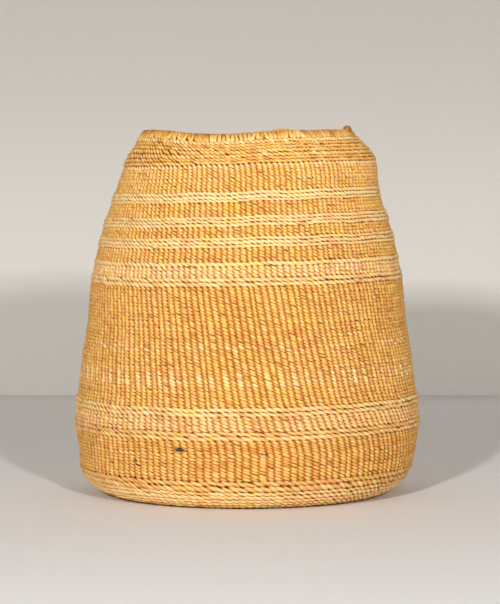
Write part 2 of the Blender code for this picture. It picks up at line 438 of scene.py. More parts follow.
def dress(piece: bpy.types.Object, finish: FibreFinish, *nodes: str) -> None:
    """Give a piece its finish and its place in the frame.

    Args:
        piece: The finished piece.
        finish: Its finish.
        nodes: CAD nodes that it stands for.
    """
    piece.data.materials.clear()
    piece.data.materials.append(finish.material)
    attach(piece, BODY)
    if nodes:
        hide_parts(*nodes)
    LOG.info("%s: %d faces", piece.name, len(piece.data.polygons))


def map_rods(mesh: bpy.types.Mesh, turn: float, tone: float, painted_shade: float = 0.0) -> None:
    """Give a mesh of plain rods the map and shades that a fibre finish reads.

    Args:
        mesh: Mesh of rods that lie level, mapped in millimetres of length and breadth.
        turn: Angle at which the rods lie.
        tone: Shade of all of it.
        painted_shade: How much painted shade all of it gets.
    """
    while mesh.uv_layers:
        mesh.uv_layers.remove(mesh.uv_layers[0])
    layer = mesh.uv_layers.new(name=STRAND_MAP)
    for loop in mesh.loops:
        x, y, z = mesh.vertices[loop.vertex_index].co
        along = x * math.cos(turn) + y * math.sin(turn)
        across = y * math.cos(turn) - x * math.sin(turn)
        layer.data[loop.index].uv = (along / MM, (across + z) / MM)
    for name, value in ((TONE, tone), (PAINTED_SHADE, painted_shade)):
        attribute = mesh.attributes.new(name, "FLOAT", "POINT")
        attribute.data.foreach_set("value", np.full(len(mesh.vertices), value, np.float32))


@dataclass(frozen=True)
class Strands:
    """How the strands of one kind of row lie.

    Sizes with three values are those outside, between and inside the stakes, and heights and
    sway are shares of the row's height. The painted shade grows from the first share of depth
    in the weave to the second. Lower powers of roundness and taper make the path fuller.
    """

    count: int
    sides: int
    steps: int
    front_share: float
    sway: float
    halves: tuple[float, float, float]
    reaches: tuple[float, float]
    thicks: tuple[float, float, float]
    roundness: float = 0.40
    taper: float = 0.40
    # Painted shade in the weave's depths and on the strands' sides, and painted light on the crest
    # and on the stitch middles
    painted_shade_span: Span = (0.40, 1.00)
    crest_painted_light: float = 0.10
    middle_wear_and_painted_light: float = 0.12
    side_painted_shade: float = 0.35
    left_steepness: float = 0.0

    @cached_property
    def repeat(self) -> "Repeat":
        """One full turn of the twist, modelled once."""
        return Repeat.modelled(self)


PLAIN_STRANDS = Strands(
    count=2, sides=5, steps=4, front_share=1 / 2, sway=0.35, halves=(0.58, 0.34, 0.52),
    reaches=(0.92 * MM, 0.98 * MM), thicks=(0.74 * MM, 0.60 * MM, 0.66 * MM), roundness=0.46,
    painted_shade_span=(0.30, 0.88), crest_painted_light=0.07, middle_wear_and_painted_light=0.08, side_painted_shade=0.22,
)
BASE_STRANDS = Strands(
    count=2, sides=5, steps=3, front_share=1 / 2, sway=0.42, halves=(0.54, 0.34, 0.52),
    reaches=(0.96 * MM, 0.96 * MM), thicks=(0.66 * MM, 0.56 * MM, 0.66 * MM),
)
CORD_STRANDS = Strands(
    count=3, sides=5, steps=3, front_share=2 / 3, sway=0.44, halves=(0.42, 0.12, 0.50),
    reaches=(1.50 * MM, 0.98 * MM), thicks=(0.84 * MM, 0.40 * MM, 0.66 * MM), roundness=0.75,
    taper=0.60, painted_shade_span=(0.20, 0.58), crest_painted_light=0.08, side_painted_shade=0.10, left_steepness=0.36,
)
CORE_STRANDS = Strands(
    count=3, sides=6, steps=3, front_share=1 / 2, sway=0.30, halves=(0.26, 0.24, 0.26),
    reaches=(0.50 * MM, 0.50 * MM), thicks=(0.80 * MM, 0.80 * MM, 0.80 * MM),
    left_steepness=0.36,
)


@dataclass(frozen=True)
class Repeat:
    """One full turn of a twist as arrays: what a row is laid from.

    A vertex has a place along the row in stakes, a phase that is 0 where its strand is
    outermost, and a section: how far up and out it is round its strand. Numbers in faces past
    the last vertex mean the next repeat.
    """

    along: Array
    phase: Array
    section: Array
    strand: Array
    faces: Array
    face_map: Array

    SECTION_RADIUS = 0.4

    @classmethod
    def modelled(cls, strands: Strands) -> "Repeat":
        """Model one turn of the twist with Blender's own tools and read it.

        Args:
            strands: The kind of row.

        Returns:
            The repeat, ready to be laid.
        """
        length = float(strands.count)
        apart = math.tau / strands.count
        select_only()
        bpy.ops.mesh.primitive_cylinder_add(
            vertices=strands.sides, radius=cls.SECTION_RADIUS, depth=length,
            end_fill_type="NOTHING", rotation=(0.0, math.pi / 2, 0.0),
        )
        twist = bpy.context.object
        apply_place(twist)
        subdivide_along(twist, 0, length, strands.steps * strands.count - 1)
        bpy.ops.mesh.select_all(action="SELECT")
        bpy.ops.transform.translate(value=(0.0, 0.0, 1.0))
        for _ in range(strands.count - 1):
            bpy.ops.mesh.duplicate()
            bpy.ops.transform.rotate(value=apart, orient_axis="X", center_override=(0.0, 0.0, 0.0))
        bpy.ops.object.mode_set(mode="OBJECT")
        level = read_numbers(twist.data.vertices, "co", 3)
        around = np.arctan2(-level[:, 1], level[:, 2])
        strand = np.round(around / apart).astype(int) % strands.count
        turn = twist.modifiers.new("turn", "SIMPLE_DEFORM")
        turn.deform_method = "TWIST"
        turn.deform_axis = "X"
        turn.angle = math.tau
        bpy.ops.object.modifier_apply(modifier=turn.name)
        repeat = cls._read(twist.data, strand, strands, level[:, 0] + length / 2)
        bpy.data.objects.remove(twist, do_unlink=True)
        return repeat

    @classmethod
    def _read(cls, mesh: bpy.types.Mesh, strand: Array, strands: Strands,
              along: Array) -> "Repeat":
        """Read a twisted mesh into arrays and close its last ring on the next repeat.

        Args:
            mesh: The modelled repeat.
            strand: Strand of each vertex.
            strands: The kind of row.
            along: Place of each vertex along the row.

        Returns:
            The repeat.
        """
        points = read_numbers(mesh.vertices, "co", 3)
        ring = np.round(along * strands.steps).astype(int)
        rings = strands.steps * strands.count
        phase = np.zeros(len(points))
        section = np.zeros((len(points), 2))
        for number in range(strands.count):
            angles = []
            for i in range(rings + 1):
                here = (strand == number) & (ring == i)
                middle = points[here].mean(axis=0)
                angles.append(math.atan2(-middle[1], middle[2]))
                section[here] = (points[here] - middle)[:, 1:] / cls.SECTION_RADIUS
            for i, angle in enumerate(np.unwrap(angles)):
                phase[(strand == number) & (ring == i)] = angle
        kept = np.flatnonzero(ring < rings)
        renumber = np.full(len(points), -1)
        renumber[kept] = np.arange(len(kept))
        first = np.flatnonzero(ring == 0)
        for last in np.flatnonzero(ring == rings):
            gaps = np.linalg.norm(points[first][:, 1:] - points[last][1:], axis=1)
            renumber[last] = renumber[first[int(np.argmin(gaps))]] + len(kept)
        corners = read_numbers(mesh.loops, "vertex_index", 1, int).reshape(-1, 4)
        uv = read_numbers(mesh.uv_layers.active.data, "uv", 2)
        uv = (uv - uv.min(axis=0)) / (uv.max(axis=0) - uv.min(axis=0))
        face_map = np.stack([along[corners], uv[:, 0].reshape(-1, 4)], axis=2)
        return cls(along[kept], phase[kept], section[kept], strand[kept], renumber[corners],
                   face_map)


@dataclass(frozen=True)
class WallShape:
    """The turned form that rows and stakes follow, the same as the solid part's.

    The shares are of the widest radius, at shares of the height.
    """

    height: float = 0.2294
    rim_height: float = 0.0052
    widest_radius: float = 0.1100
    foot_turn_reach: float = 0.0272
    foot_turn_height: float = 0.0260
    thickness: float = 0.0036
    crossing_radius: float = 0.0125
    edge_height: float = 0.01851
    radius_shares: tuple[tuple[float, float], ...] = (
        (0.000, 0.930), (0.080, 0.960), (0.130, 0.981), (0.215, 1.000), (0.300, 0.974),
        (0.390, 0.949), (0.475, 0.918), (0.570, 0.900), (0.655, 0.868), (0.740, 0.826),
        (0.825, 0.770), (0.905, 0.735), (0.940, 0.702), (0.970, 0.648), (1.000, 0.600),
    )
    samples: int = 2400
    reach_past_rim: float = 0.006

    @property
    def rim_middle(self) -> float:
        """Rise of the middle of the rim."""
        return self.height - self.rim_height / 2

    def _share(self, places: Array) -> Array:
        """Read the smooth curve through the radius shares.

        Args:
            places: Shares of the height.

        Returns:
            Shares of the widest radius.
        """
        at, value = np.array(self.radius_shares).T
        last = len(at) - 1
        step = np.clip(np.searchsorted(at, places) - 1, 0, last - 1)
        before, after = np.maximum(step - 1, 0), np.minimum(step + 2, last)
        width = at[step + 1] - at[step]
        start_slope = (value[step + 1] - value[before]) / (at[step + 1] - at[before]) * width
        end_slope = (value[after] - value[step]) / (at[after] - at[step]) * width
        t = (places - at[step]) / width
        return (
            (2 * t**3 - 3 * t**2 + 1) * value[step] + (t**3 - 2 * t**2 + t) * start_slope
            + (3 * t**2 - 2 * t**3) * value[step + 1] + (t**3 - t**2) * end_slope
        )

    @cached_property
    def standing_radius(self) -> float:
        """Radius at which the flat base ends and the wall starts to turn up."""
        place = np.array([self.foot_turn_height / self.height])
        return self.widest_radius * float(self._share(place)[0]) - self.foot_turn_reach

    def _turned_by(self, height: Numbers) -> Array:
        """Angle that the turn at the foot has reached at a height."""
        return np.arccos(1.0 - np.clip(height / self.foot_turn_height, 0.0, 1.0))

    @cached_property
    def _table(self) -> dict[str, Array]:
        """Sample the outer face.

        Returns:
            Rises, radii, heights, lengths along the face, and the two parts of its normal.
        """
        rise = np.linspace(-self.standing_radius, self.height + self.reach_past_rim, self.samples)
        edge_share = np.clip(rise / self.edge_height, 0.0, 1.0)
        turn = np.where(
            rise < self.edge_height, edge_share * self._turned_by(self.edge_height),
            self._turned_by(rise),
        )
        wall_radius = self.widest_radius * self._share(np.clip(rise / self.height, 0.0, None))
        turned_radius = self.standing_radius + self.foot_turn_reach * np.sin(turn)
        turned_height = self.foot_turn_height * (1 - np.cos(turn))
        radius = np.where(rise < self.foot_turn_height, turned_radius, wall_radius)
        radius = np.where(rise < 0.0, self.standing_radius + rise, radius)
        height = np.where(rise < self.foot_turn_height, turned_height, rise)
        across, up = np.gradient(radius), np.gradient(height)
        steps = np.hypot(np.diff(radius), np.diff(height))
        long = np.hypot(across, up)
        return {
            "rise": rise, "radius": radius, "height": height,
            "length": np.concatenate([[0.0], np.cumsum(steps)]),
            "out_across": up / long, "out_up": -across / long,
        }

    def length_at(self, rise: Numbers) -> Array:
        """Length along the face at a rise up the rows."""
        return np.interp(rise, self._table["rise"], self._table["length"])

    def at_length(self, name: str, length: Array) -> Array:
        """One of the sampled values, at a length along the face."""
        return np.interp(length, self._table["length"], self._table[name])

    def place(self, length: Array, turn: Array, out: Numbers, swell: Array) -> Array:
        """Find points on the wall.

        Args:
            length: How far along the face, from the middle of the base.
            turn: Angle round the axis.
            out: How far out from the middle of the wall's thickness.
            swell: How far the form bulges there.

        Returns:
            One row of x, y and z for each point.
        """
        radius, height, across, up = (
            self.at_length(name, length) for name in ("radius", "height", "out_across", "out_up")
        )
        off = out - self.thickness / 2
        radius = radius + across * off + swell
        height = np.maximum(height + up * off, 0.0)
        return np.stack([radius * np.cos(turn), radius * np.sin(turn), height], axis=-1)


@dataclass(frozen=True)
class Hand:
    """How the maker's hand strays from the true form. Each span is one of rises.

    A set of waves has its name and count, its fewest and most cycles round, and how fast they
    may turn up the wall. The rim's line is in degrees round it and millimetres up.
    """

    seed: int = 7
    waves: tuple[tuple[str, int, int, int, float], ...] = (
        ("row", 9, 2, 17, 60.0), ("stake", 11, 14, 78, 90.0), ("swell", 6, 2, 9, 40.0),
    )
    base_span: Span = (-0.03, 0.0)
    wall_span: Span = (0.0, 0.03)
    stake_waver: float = 0.080
    row_waver: float = 0.20 * MM
    swell: float = 0.45 * MM
    lean: float = -1.75
    lean_span: Span = (0.034, 0.140)
    top_lean_start: float = 0.202
    foot_spread: float = 0.12
    foot_spread_in: Span = (-0.05, -0.01)
    foot_spread_out: Span = (0.022, 0.075)
    top_spread: float = 0.05
    top_spread_in: Span = (0.165, 0.20)
    left_span: Span = (0.1, 0.9)
    tilt_low: float = 0.7 * MM
    tilt_high: float = 2.4 * MM
    tilt_span: Span = (0.11, 0.19)
    foot_shift: float = -1.3 * MM
    foot_shift_in: Span = (-0.01, 0.004)
    foot_shift_out: Span = (0.010, 0.030)
    shoulder_shift: float = 2.5 * MM
    shoulder_span: Span = (0.188, 0.212)
    rim_shift: float = 0.4 * MM
    rim_swell: float = 0.9 * MM
    rim_swell_span: Span = (0.218, 0.226)
    rim_span: Span = (0.206, 0.226)
    rim_line: tuple[tuple[float, float], ...] = (
        (-145.0, 1.6), (-128.0, -0.2), (-118.0, -1.6), (-105.0, -2.5), (-94.0, -1.3),
        (-83.0, -0.5), (-70.0, 1.1), (-50.0, 1.0), (-25.0, 2.4), (10.0, 1.8),
        (60.0, 0.2), (110.0, -0.9), (150.0, 0.8), (180.0, 2.1),
    )
    rim_easing: tuple[int, ...] = (-9, -3, 3, 9)

    @cached_property
    def _waves(self) -> dict[str, Array]:
        """Draw the waves.

        Returns:
            One row for each wave: cycles round, radians per metre of rise, and phase.
        """
        draw = np.random.default_rng(self.seed)
        return {
            name: np.stack([
                draw.integers(fewest, most, count).astype(float),
                draw.uniform(-rise_rate, rise_rate, count),
                draw.uniform(0.0, math.tau, count),
            ], axis=1)
            for name, count, fewest, most, rise_rate in self.waves
        }

    def _sum(self, name: str, turn: Array, rise: Numbers) -> Array:
        """Add up one set of waves, to about 1 at most.

        Args:
            name: Name of the set.
            turn: Angle round the axis.
            rise: Rise up the rows.

        Returns:
            The height of the waves.
        """
        rows = self._waves[name]
        total = sum(np.sin(c * turn + r * rise + p) for c, r, p in rows)
        return total / math.sqrt(len(rows))

    def stake_turn(self, stakes: Array, count: int, rise: Numbers) -> Array:
        """Find the angle at which a place between stakes lies, at a rise.

        Args:
            stakes: Place round the basket, counted in stakes.
            count: Stakes round the basket.
            rise: Rise up the rows.

        Returns:
            The angle round the axis.
        """
        even = math.tau * stakes / count
        waver = (
            self.stake_waver * math.tau / count * self._sum("stake", even, rise)
            * smooth_step(self.base_span, rise)
        )
        leant = self.lean * (
            np.clip(rise, *self.lean_span) - self.lean_span[0]
            + np.maximum(rise - self.top_lean_start, 0.0)
        )
        spread = self.foot_spread * smooth_step(self.foot_spread_in, rise) * (
            1.0 - smooth_step(self.foot_spread_out, rise)
        ) + self.top_spread * smooth_step(self.top_spread_in, rise)
        return even + leant + waver + spread * np.sin(even + leant - FRONT)

    def left_share(self, turn: Array) -> Array:
        """How far on the left of the basket an angle is, from 0 to 1."""
        return smooth_step(self.left_span, -np.cos(turn))

    def row_drift(self, turn: Array, rise: Numbers) -> Array:
        """Find how far a row strays up the wall.

        Args:
            turn: Angle round the axis.
            rise: Rise up the rows.

        Returns:
            The drift.
        """
        at_rim = smooth_step(self.rim_span, rise)
        tilt = self.tilt_low + (self.tilt_high - self.tilt_low) * smooth_step(self.tilt_span, rise)
        strayed = (
            tilt * (1.0 - at_rim) * np.cos(turn) + self.row_waver * self._sum("row", turn, rise)
        )
        turns, heights = np.array(self.rim_line).T
        rim_height = np.mean([
            np.interp(np.degrees(turn) + aside, turns, heights, period=360.0)
            for aside in self.rim_easing
        ], axis=0) * MM
        return smooth_step(self.wall_span, rise) * strayed + at_rim * rim_height

    def bulge(self, turn: Array, rise: Numbers) -> Array:
        """Find how far the wall strays outward.

        Args:
            turn: Angle round the axis.
            rise: Rise up the rows.

        Returns:
            The bulge.
        """
        at_rim = smooth_step(self.rim_swell_span, rise)
        foot = self.foot_shift * smooth_step(self.foot_shift_in, rise) * (
            1.0 - smooth_step(self.foot_shift_out, rise)
        )
        shoulder = self.shoulder_shift * smooth_step(self.shoulder_span, rise)
        aside = foot + shoulder + (self.rim_shift - self.shoulder_shift) * at_rim
        wavy = self.swell * self._sum("swell", turn, rise) * smooth_step(self.wall_span, rise)
        return wavy + aside * np.cos(turn) + self.rim_swell * at_rim


@dataclass(frozen=True)
class Stain:
    """A small dark mark on the stitches: where it is, and its half width and half height."""

    degrees: float
    rise: float
    width: float
    height: float
    fading: Span = (0.6, 1.3)


STAINS = (
    Stain(-111.8, 0.0371, 3.9 * MM, 1.5 * MM), Stain(-128.9, 0.0290, 1.7 * MM, 1.2 * MM),
    Stain(-150.8, 0.0415, 1.4 * MM, 1.1 * MM), Stain(-153.4, 0.0336, 1.6 * MM, 1.1 * MM),
    Stain(-154.4, 0.0292, 1.2 * MM, 0.9 * MM), Stain(-85.2, 0.0357, 0.9 * MM, 0.9 * MM),
    Stain(-83.6, 0.0350, 0.8 * MM, 0.7 * MM), Stain(35.0, 0.0900, 2.0 * MM, 1.0 * MM),
    Stain(104.0, 0.0620, 2.6 * MM, 1.1 * MM),
)


class RowKind(Enum):
    """The kinds of row in the wall: height next to a plain row, and how the strands lie."""

    PLAIN = (1.00, PLAIN_STRANDS)
    STRAW = (1.07, PLAIN_STRANDS)
    EDGE_CORD = (1.00, CORD_STRANDS)
    LOWER_CORD = (1.37, CORD_STRANDS)
    UPPER_CORD = (1.07, CORD_STRANDS)
    SHOULDER_CORD = (1.05, CORD_STRANDS)

    def __init__(self, share: float, strands: Strands) -> None:
        """Name the two values of a kind."""
        self.share, self.strands = share, strands


@dataclass(frozen=True)
class Band:
    """Rows of one kind, one above another.

    The pale strand is how much lighter every other stitch is. Row tones, from the lowest row
    up, are how much lighter each row is than the band's tone.
    """

    node: str
    rows: int
    kind: RowKind
    finish: FibreFinish
    tone: float
    pale_strand: float = 0.0
    parts: int = 1
    row_tones: tuple[float, ...] = ()


BANDS = (
    Band("base_turn_cord_rows", 4, RowKind.EDGE_CORD, OCHRE_CORD, 0.45,
         row_tones=(0.0, 0.0, 0.05, 0.35)),
    Band("base_edge_cord_rows", 5, RowKind.EDGE_CORD, STRAW_CORD, 0.40,
         row_tones=(0.05, 0.0, -0.15, -0.35, -0.40)),
    Band("lower_ochre_rows", 12, RowKind.PLAIN, OCHRE_WEFT, 0.34),
    Band("lower_cord_rows", 2, RowKind.LOWER_CORD, STRAW_CORD, 0.10),
    Band("lower_straw_rows", 4, RowKind.STRAW, STRAW_WEFT, 0.42),
    Band("body_foot_cord_rows", 2, RowKind.LOWER_CORD, STRAW_CORD, 0.32),
    Band("body_foot_rows", 6, RowKind.PLAIN, OCHRE_WEFT, 0.48),
    Band("body_speckled_rows", 4, RowKind.PLAIN, SPECKLED_WEFT, 0.40, 0.40),
    Band("body_middle_rows", 6, RowKind.PLAIN, OCHRE_WEFT, 0.45),
    Band("body_flecked_rows", 2, RowKind.PLAIN, SPECKLED_WEFT, 0.42, 0.18),
    Band("body_upper_rows", 17, RowKind.PLAIN, OCHRE_WEFT, 0.42, parts=2),
    Band("waist_cord_rows", 2, RowKind.LOWER_CORD, STRAW_CORD, 0.32),
    Band("waist_straw_rows", 3, RowKind.STRAW, STRAW_WEFT, 0.62),
    Band("waist_single_cord_row", 1, RowKind.LOWER_CORD, STRAW_CORD, 0.55),
    Band("first_upper_ochre_rows", 4, RowKind.PLAIN, OCHRE_WEFT, 0.50),
    Band("first_upper_cord_rows", 3, RowKind.UPPER_CORD, STRAW_CORD, 0.60),
    Band("second_upper_ochre_rows", 3, RowKind.PLAIN, UPPER_OCHRE_WEFT, 0.50),
    Band("second_upper_cord_rows", 3, RowKind.UPPER_CORD, STRAW_CORD, 0.50),
    Band("third_upper_ochre_rows", 4, RowKind.PLAIN, UPPER_OCHRE_WEFT, 0.48),
    Band("third_upper_cord_rows", 3, RowKind.UPPER_CORD, STRAW_CORD, 0.60),
    Band("shoulder_ochre_rows", 7, RowKind.PLAIN, UPPER_OCHRE_WEFT, 0.60),
    Band("shoulder_straw_row", 1, RowKind.PLAIN, STRAW_WEFT, 0.75),
    Band("shoulder_cord_rows", 7, RowKind.SHOULDER_CORD, OCHRE_CORD, 0.42,
         row_tones=(0.05, 0.0, 0.0, 0.0, 0.0, 0.05, 0.30)),
)


@dataclass
class MeshParts:
    """Vertices, faces and attributes that are gathered until they make one piece."""

    points: list[Array] = field(default_factory=list)
    faces: list[Array] = field(default_factory=list)
    maps: list[Array] = field(default_factory=list)
    values: dict[str, list[Array]] = field(
        default_factory=lambda: {TONE: [], PAINTED_SHADE: [], STAIN: []}
    )
    count: int = 0

    def add(self, points: Array, faces: Array, face_map: Array,
            tone: Numbers, painted_shade: Numbers, stain: Numbers,
            centres: Array | None = None) -> None:
        """Gather one closed run of strands.

        Args:
            points: Vertex places.
            faces: Four vertex numbers a face.
            face_map: Map place of each face corner, in millimetres.
            tone: Shade of each vertex.
            painted_shade: How much painted shade each vertex gets, from its depth in the weave.
            stain: How dark a mark on it is.
            centres: Middle of the strand at each vertex, which its faces are made to look
                away from.
        """
        if centres is not None:
            corners = points[faces]
            normal = np.cross(corners[:, 2] - corners[:, 0], corners[:, 3] - corners[:, 1])
            away = corners.mean(axis=1) - centres[faces].mean(axis=1)
            if np.mean(np.sum(normal * away, axis=1)) < 0.0:
                faces, face_map = faces[:, ::-1], face_map[:, ::-1]
        self.points.append(points)
        self.faces.append(faces + self.count)
        self.maps.append(face_map.reshape(-1, 2))
        for name, value in ((TONE, tone), (PAINTED_SHADE, painted_shade), (STAIN, stain)):
            self.values[name].append(np.broadcast_to(value, (len(points),)))
        self.count += len(points)

    def piece(self, name: str) -> bpy.types.Object:
        """Make the piece.

        Args:
            name: Name of the piece.

        Returns:
            Its object, at the origin.
        """
        points = np.concatenate(self.points)
        faces = np.concatenate(self.faces)
        mesh = bpy.data.meshes.new(name)
        mesh.vertices.add(len(points))
        mesh.vertices.foreach_set("co", points.astype(np.float32).ravel())
        mesh.loops.add(faces.size)
        mesh.loops.foreach_set("vertex_index", faces.astype(np.int32).ravel())
        mesh.polygons.add(len(faces))
        mesh.polygons.foreach_set("loop_start", np.arange(0, faces.size, 4, dtype=np.int32))
        mesh.polygons.foreach_set("use_smooth", np.ones(len(faces), bool))
        mesh.update(calc_edges=True)
        layer = mesh.uv_layers.new(name=STRAND_MAP)
        layer.data.foreach_set("uv", np.concatenate(self.maps).astype(np.float32).ravel())
        for key, runs in self.values.items():
            attribute = mesh.attributes.new(key, "FLOAT", "POINT")
            attribute.data.foreach_set("value", np.concatenate(runs).astype(np.float32))
        mesh.validate()
        return linked(name, mesh)


@dataclass
class Weaver:
    """Lays rows of weft on the wall's form, one strand being spliced to the next.

    Stitches differ by their jitters in reach, height and rise.
    """

    wall: WallShape
    hand: Hand
    seed: int = 19
    row_seeds: int = 1000
    splice_short: int = 16
    splice_long: int = 60
    splice_shade: float = 0.10
    stitch_shade: float = 0.13
    stitch_jitters: tuple[float, float, float] = (0.12 * MM, 0.10, 0.07)
    pale_kept: float = 0.93
    pale_contrast: float = 0.15
    row_jitter: float = 0.09
    strand_round_mm: float = 4.6
    strand_apart_mm: float = 37.0
    row_apart_mm: float = 211.0
    # Where painted shade falls on a strand's sides, and the level about which stitch middles get
    # painted light
    side_span: Span = (0.45, 1.0)
    crest_facing: float = 0.8
    middle_level: float = 0.7
    rows_laid: int = 0

    def lay_row(self, parts: MeshParts, strands: Strands, stakes: int, low: float, high: float,
                tone: float, pale_strand: float = 0.0) -> None:
        """Lay one row of strands round the basket.

        Args:
            parts: Gathers the row.
            strands: The kind of row.
            stakes: Stakes that the row goes round.
            low: Rise of its lower edge.
            high: Rise of its upper edge.
            tone: Middle shade of its strands.
            pale_strand: How much lighter the second strand is.
        """
        self.rows_laid += 1
        draw = np.random.default_rng(self.seed * self.row_seeds + self.rows_laid)
        repeat = strands.repeat
        tiles = stakes // strands.count
        tile = np.repeat(np.arange(tiles), len(repeat.along))
        along = np.tile(repeat.along, tiles) + tile * strands.count
        phase, strand = np.tile(repeat.phase, tiles), np.tile(repeat.strand, tiles)
        up_share, out_share = np.tile(repeat.section.T, tiles)
        turns = phase / math.tau + tile
        outside = (strand, np.floor(turns + 0.5).astype(int) % tiles)
        inside = (strand, np.floor(turns).astype(int) % tiles)
        path = self._path(phase, strands.front_share)
        cosine = np.cos(path)
        front = np.maximum(cosine, 0.0) ** strands.roundness
        back = np.maximum(-cosine, 0.0) ** strands.roundness
        grown = np.maximum(cosine, 0.0) ** strands.taper

        shades = self._shades(draw, strands.count, tiles, tone, pale_strand)
        inner_shades = shades + draw.normal(0.0, self.stitch_shade, shades.shape)
        shade = np.where(cosine >= 0.0, shades[outside], inner_shades[inside])
        reach_jitter, height_jitter, rise_jitter = (
            draw.normal(0.0, spread, shades.shape)[outside] for spread in self.stitch_jitters
        )

        foot, head = self.wall.length_at(low), self.wall.length_at(high)
        row_height = float(head - foot)
        rise = (low + high) / 2
        half = row_height * self._blend(strands.halves, grown, back) * (
            1.0 + height_jitter * front
        )
        centre_out = (strands.reaches[0] + reach_jitter) * front - strands.reaches[1] * back
        out = centre_out + out_share * self._blend(strands.thicks, front, back)
        turn = self.hand.stake_turn(along, stakes, rise)
        steeper = 1.0 + strands.left_steepness * self.hand.left_share(turn)
        slant = -strands.sway * self._slant(path) * steeper
        up = row_height * (slant + rise_jitter * front) + up_share * half
        length = (foot + head) / 2 + up + self.hand.row_drift(turn, rise)
        bulge = self.hand.bulge(turn, rise)
        points = self.wall.place(length, turn, out, bulge)
        centres = self.wall.place(length - up_share * half, turn, centre_out, bulge)

        # Painted highlight on each strand's outward crest, painted shade on its inward side, and
        # stitch middles lighter than their ends, partly by wear and partly by painted light
        facing = np.where(cosine >= 0.0, out_share, -out_share)
        shade = shade + strands.crest_painted_light * facing + strands.middle_wear_and_painted_light * (
            front + back - self.middle_level
        )
        faces, face_map = self._faces(
            repeat, strands, strand, tiles, points, draw.uniform(0.0, self.row_apart_mm)
        )
        # Painted shade in the hollows of the weave and on the strands' sides
        painted_shade = self._painted_shade(strands, out, up_share, facing)
        stain = self._stain(turn, length, out) if rise > 0.0 else 0.0
        parts.add(points, faces, face_map, shade, painted_shade, stain, centres)

    def _shades(self, draw: np.random.Generator, count: int, stakes: int, tone: float,
                pale_strand: float) -> Array:
        """Draw the shade of every stitch of every strand in a row.

        Args:
            draw: Seeded source.
            count: Strands in the row.
            stakes: Stitches of each strand.
            tone: Middle shade.
            pale_strand: How much lighter the second strand is.

        Returns:
            One row of shades for each strand.
        """
        shades = np.empty((count, stakes))
        for number in range(count):
            place = 0
            while place < stakes:
                long = int(draw.integers(self.splice_short, self.splice_long))
                shades[number, place:place + long] = draw.normal(0.0, self.splice_shade)
                place += long
        shades += draw.normal(0.0, self.stitch_shade, shades.shape)
        shades += tone
        if pale_strand:
            shades[1] += pale_strand * (draw.random(stakes) < self.pale_kept)
            shades[0] -= pale_strand * self.pale_contrast
        return shades

    @staticmethod
    def _blend(sizes: tuple[float, float, float], front: Array, back: Array) -> Array:
        """Go between the sizes of a strand outside, between and inside the stakes.

        Args:
            sizes: The three sizes.
            front: How much each vertex is outside.
            back: How much it is inside.

        Returns:
            The size at each vertex.
        """
        outer, gap, inner = sizes
        return gap + (outer - gap) * front + (inner - gap) * back

    @staticmethod
    def _path(phase: Array, front_share: float) -> Array:
        """Warp the twist's angle so that a strand is outside for its share of the way.

        Args:
            phase: Angle round the twist.
            front_share: The share.

        Returns:
            The warped angle.
        """
        turned = np.angle(np.exp(1j * phase))
        edge = math.pi * front_share
        outside = turned * (math.pi / 2) / edge
        rest = (np.abs(turned) - edge) / (math.pi - edge) * (math.pi / 2) + math.pi / 2
        return np.where(np.abs(turned) <= edge, outside, np.sign(turned) * rest)

    @staticmethod
    def _slant(path: Array) -> Array:
        """Height of a strand's path, a straight slant from 1 down to -1 and up again."""
        quarter = path / (math.pi / 2)
        return np.where(np.abs(quarter) <= 1.0, quarter, np.sign(quarter) * 2.0 - quarter)

    def _painted_shade(self, strands: Strands, out: Array, up_share: Array, facing: Array) -> Array:
        """Find how much painted shade each vertex of a row gets, from its depth in the weave.

        Args:
            strands: The kind of row.
            out: How far out from the middle of the wall it is.
            up_share: How far up round its strand it is.
            facing: How squarely it looks away from the wall.

        Returns:
            The painted shade, from 0 to 1.
        """
        crest = np.where(out >= 0.0, strands.reaches[0] + strands.thicks[0],
                         strands.reaches[1] + strands.thicks[2])
        depth = 1.0 - np.clip(np.abs(out) / crest, 0.0, 1.0)
        beside = smooth_step(self.side_span, np.abs(up_share)) * (facing < self.crest_facing)
        return np.maximum(smooth_step(strands.painted_shade_span, depth), strands.side_painted_shade * beside)

    def _stain(self, turn: Array, length: Array, out: Array) -> Array:
        """Find how dark the marks are at each vertex of a row.

        Args:
            turn: Angle round the axis.
            length: How far along the face.
            out: How far out from the middle of the wall.

        Returns:
            The darkness, from 0 to 1.
        """
        stain = np.zeros(len(turn))
        for mark in STAINS:
            off_turn = np.angle(np.exp(1j * (turn - math.radians(mark.degrees))))
            across = off_turn * self.wall.widest_radius / mark.width
            off = (self.wall.length_at(mark.rise) - length) / mark.height
            near = 1.0 - smooth_step(mark.fading, np.hypot(across, off))
            stain = np.maximum(stain, near * (out > 0.0))
        return stain

    def _faces(self, repeat: Repeat, strands: Strands, strand: Array, tiles: int,
               points: Array, shift: float) -> tuple[Array, Array]:
        """Join the repeats of a row into rings and map them.

        Args:
            repeat: One turn of the twist.
            strands: The kind of row.
            strand: Strand of each vertex of the row.
            tiles: How many repeats the row has.
            points: Vertex places.
            shift: Where the row starts on the map, in millimetres.

        Returns:
            Four vertex numbers a face, and the map place of each face corner.
        """
        tile = np.repeat(np.arange(tiles), len(repeat.faces))[:, None]
        faces = (np.tile(repeat.faces, (tiles, 1)) + tile * len(repeat.along)) % len(points)
        face_map = np.tile(repeat.face_map, (tiles, 1, 1))
        round_mm = math.tau * float(np.hypot(points[:, 0], points[:, 1]).mean()) / MM
        pitch_mm = round_mm / (tiles * strands.count)
        face_map[..., 0] = (face_map[..., 0] + tile * strands.count) * pitch_mm + shift
        face_map[..., 1] = (
            face_map[..., 1] * self.strand_round_mm
            + strand[faces[:, 0]][:, None] * self.strand_apart_mm
            + self.rows_laid * self.strand_apart_mm * strands.count
        )
        return faces, face_map


